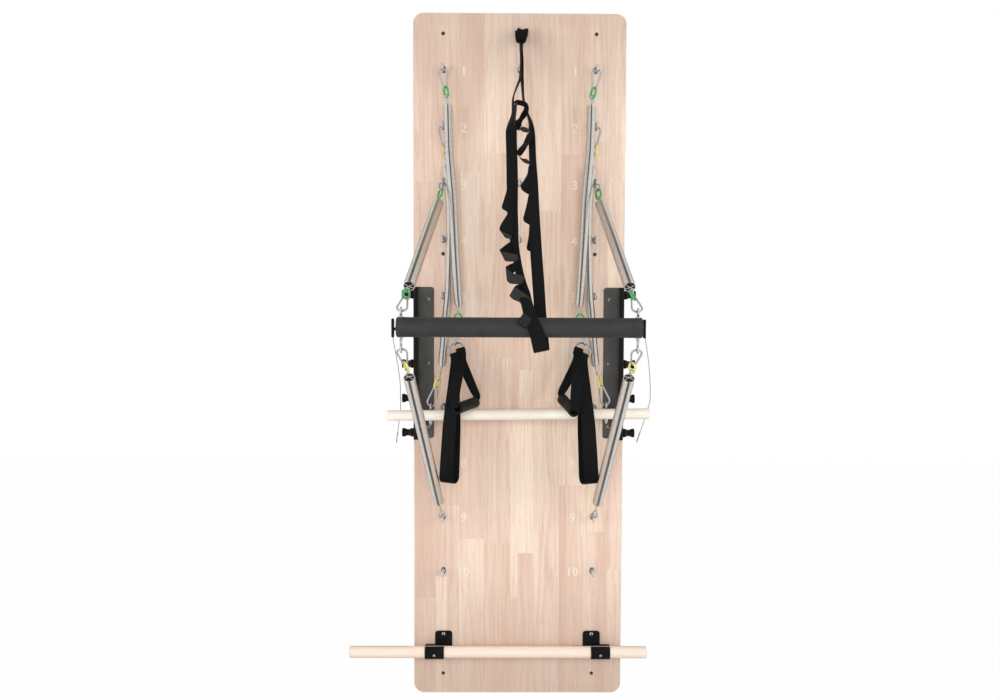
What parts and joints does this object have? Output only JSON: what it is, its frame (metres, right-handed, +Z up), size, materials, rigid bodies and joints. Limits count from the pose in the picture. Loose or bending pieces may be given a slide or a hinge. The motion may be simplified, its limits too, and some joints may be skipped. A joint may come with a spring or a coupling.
{
  "type": "pilates wall unit",
  "caption": "Wall board with eyebolt rows, sprung handles, sprung roll-down dowel, sprung push-through bar on side brackets, foot dowel and stretch strap.",
  "frame": {"origin": "centre of the board's flat back face, which lies on the wall", "axes": "+Z up along the board, -Y out of the wall towards the user, +X to the right of someone facing the board"},
  "size_m": [0.8737, 0.5795, 1.98],
  "materials": {
    "board": "clear satin lacquer on laminated staves",
    "powder_coat": "fine satin black powder coat",
    "foam": "matt closed-cell foam",
    "steel": "bright zinc-plated steel",
    "spring_wire": "bright nickel-plated spring wire",
    "lanyard_wire": "twisted wire rope",
    "webbing": "flat woven webbing",
    "dowel": "smooth pale hardwood, clear sealed"
  },
  "bodies": {
    "root": {"back_board": "board", "side_bracket_left": "powder_coat", "side_bracket_right": "powder_coat", "spool_left_1": "powder_coat", "spool_left_3": "powder_coat", "spool_left_4": "powder_coat", "spool_left_5": "powder_coat", "spool_right_1": "powder_coat", "spool_right_3": "powder_coat", "spool_right_4": "powder_coat", "spool_right_5": "powder_coat", "eyebolt_strap": "steel", "eyebolt_row1_left": "steel", "eyebolt_row2_left": "steel", "eyebolt_row3_left": "steel", "eyebolt_row9_left": "steel", "foot_bracket_left": "powder_coat", "hook_rolldown_top_left": "steel", "spring_upper_left": "spring_wire", "spring_lower_left": "spring_wire", "spring_rolldown_left": "spring_wire", "eyebolt_row1_right": "steel", "eyebolt_row2_right": "steel", "eyebolt_row3_right": "steel", "eyebolt_row9_right": "steel", "foot_bracket_right": "powder_coat", "hook_rolldown_top_right": "steel", "spring_upper_right": "spring_wire", "spring_lower_right": "spring_wire", "spring_rolldown_right": "spring_wire", "stretch_strap": "webbing"},
    "push_bar": {"push_bar_frame": "powder_coat", "foam_sleeve": "foam", "bar_eye_left": "steel", "hook_upper_left": "steel", "hook_lower_left": "steel", "bar_eye_right": "steel", "hook_upper_right": "steel", "hook_lower_right": "steel"},
    "rolldown": {"rolldown_bar": "dowel", "hook_rolldown_low_left": "steel", "hook_rolldown_low_right": "steel"},
    "foot_bar": {"foot_bar": "dowel"},
    "lock_pin_left": {"t_pin_left": "powder_coat", "lanyard_left": "lanyard_wire"},
    "handle_spring_left": {"hook_handle_top_left": "steel", "spring_handle_left": "spring_wire"},
    "handle_clip_left": {"hook_handle_low_left": "steel"},
    "handle_left": {"d_ring_left": "steel", "strap_left": "webbing", "grip_left": "foam"},
    "lock_pin_right": {"t_pin_right": "powder_coat", "lanyard_right": "lanyard_wire"},
    "handle_spring_right": {"hook_handle_top_right": "steel", "spring_handle_right": "spring_wire"},
    "handle_clip_right": {"hook_handle_low_right": "steel"},
    "handle_right": {"d_ring_right": "steel", "strap_right": "webbing", "grip_right": "foam"}
  },
  "joints": [
    {"name": "push_bar_swing", "type": "hinge", "parent": "root", "child": "push_bar", "pos_m": [0, -0.0477, 0.0875], "axis": [-1, 0, 0], "range_deg": [-35, 35], "stiffness_Nm_per_rad": 100, "springref_deg": 11.46, "deforming": ["spring_upper_left", "spring_upper_right", "spring_lower_left", "spring_lower_right", "stretch_strap"]},
    {"name": "rolldown_pull", "type": "slide", "parent": "root", "child": "rolldown", "axis": [0, 0, -1], "range_m": [0, 0.15], "stiffness_N_per_m": 300, "springref_m": -0.03, "deforming": ["spring_rolldown_left", "spring_rolldown_right"]},
    {"name": "foot_bar_slide", "type": "slide", "parent": "root", "child": "foot_bar", "axis": [1, 0, 0], "range_m": [-0.04, 0.11]},
    {"name": "lock_pin_left_pull", "type": "slide", "parent": "push_bar", "child": "lock_pin_left", "axis": [-1, 0, 0], "range_m": [0, 0.04]},
    {"name": "handle_left_swing", "type": "hinge", "parent": "root", "child": "handle_spring_left", "pos_m": [-0.219, -0.058, 0.83], "axis": [-1, 0, 0], "range_deg": [0, 20]},
    {"name": "handle_left_pull", "type": "slide", "parent": "handle_spring_left", "child": "handle_clip_left", "axis": [0.043, -0.4186, -0.9071], "range_m": [0, 0.2], "stiffness_N_per_m": 120, "springref_m": -0.035, "deforming": ["spring_handle_left"]},
    {"name": "handle_left_tilt", "type": "hinge", "parent": "handle_clip_left", "child": "handle_left", "pos_m": [-0.18201, -0.1, 0.04986], "axis": [-1, 0, 0], "range_deg": [0, 75]},
    {"name": "lock_pin_right_pull", "type": "slide", "parent": "push_bar", "child": "lock_pin_right", "axis": [1, 0, 0], "range_m": [0, 0.04]},
    {"name": "handle_right_swing", "type": "hinge", "parent": "root", "child": "handle_spring_right", "pos_m": [0.219, -0.058, 0.83], "axis": [-1, 0, 0], "range_deg": [0, 20]},
    {"name": "handle_right_pull", "type": "slide", "parent": "handle_spring_right", "child": "handle_clip_right", "axis": [-0.035, -0.4188, -0.9074], "range_m": [0, 0.2], "stiffness_N_per_m": 120, "springref_m": -0.035, "deforming": ["spring_handle_right"]},
    {"name": "handle_right_tilt", "type": "hinge", "parent": "handle_clip_right", "child": "handle_right", "pos_m": [0.18892, -0.1, 0.04999], "axis": [-1, 0, 0], "range_deg": [0, 75]}
  ]
}
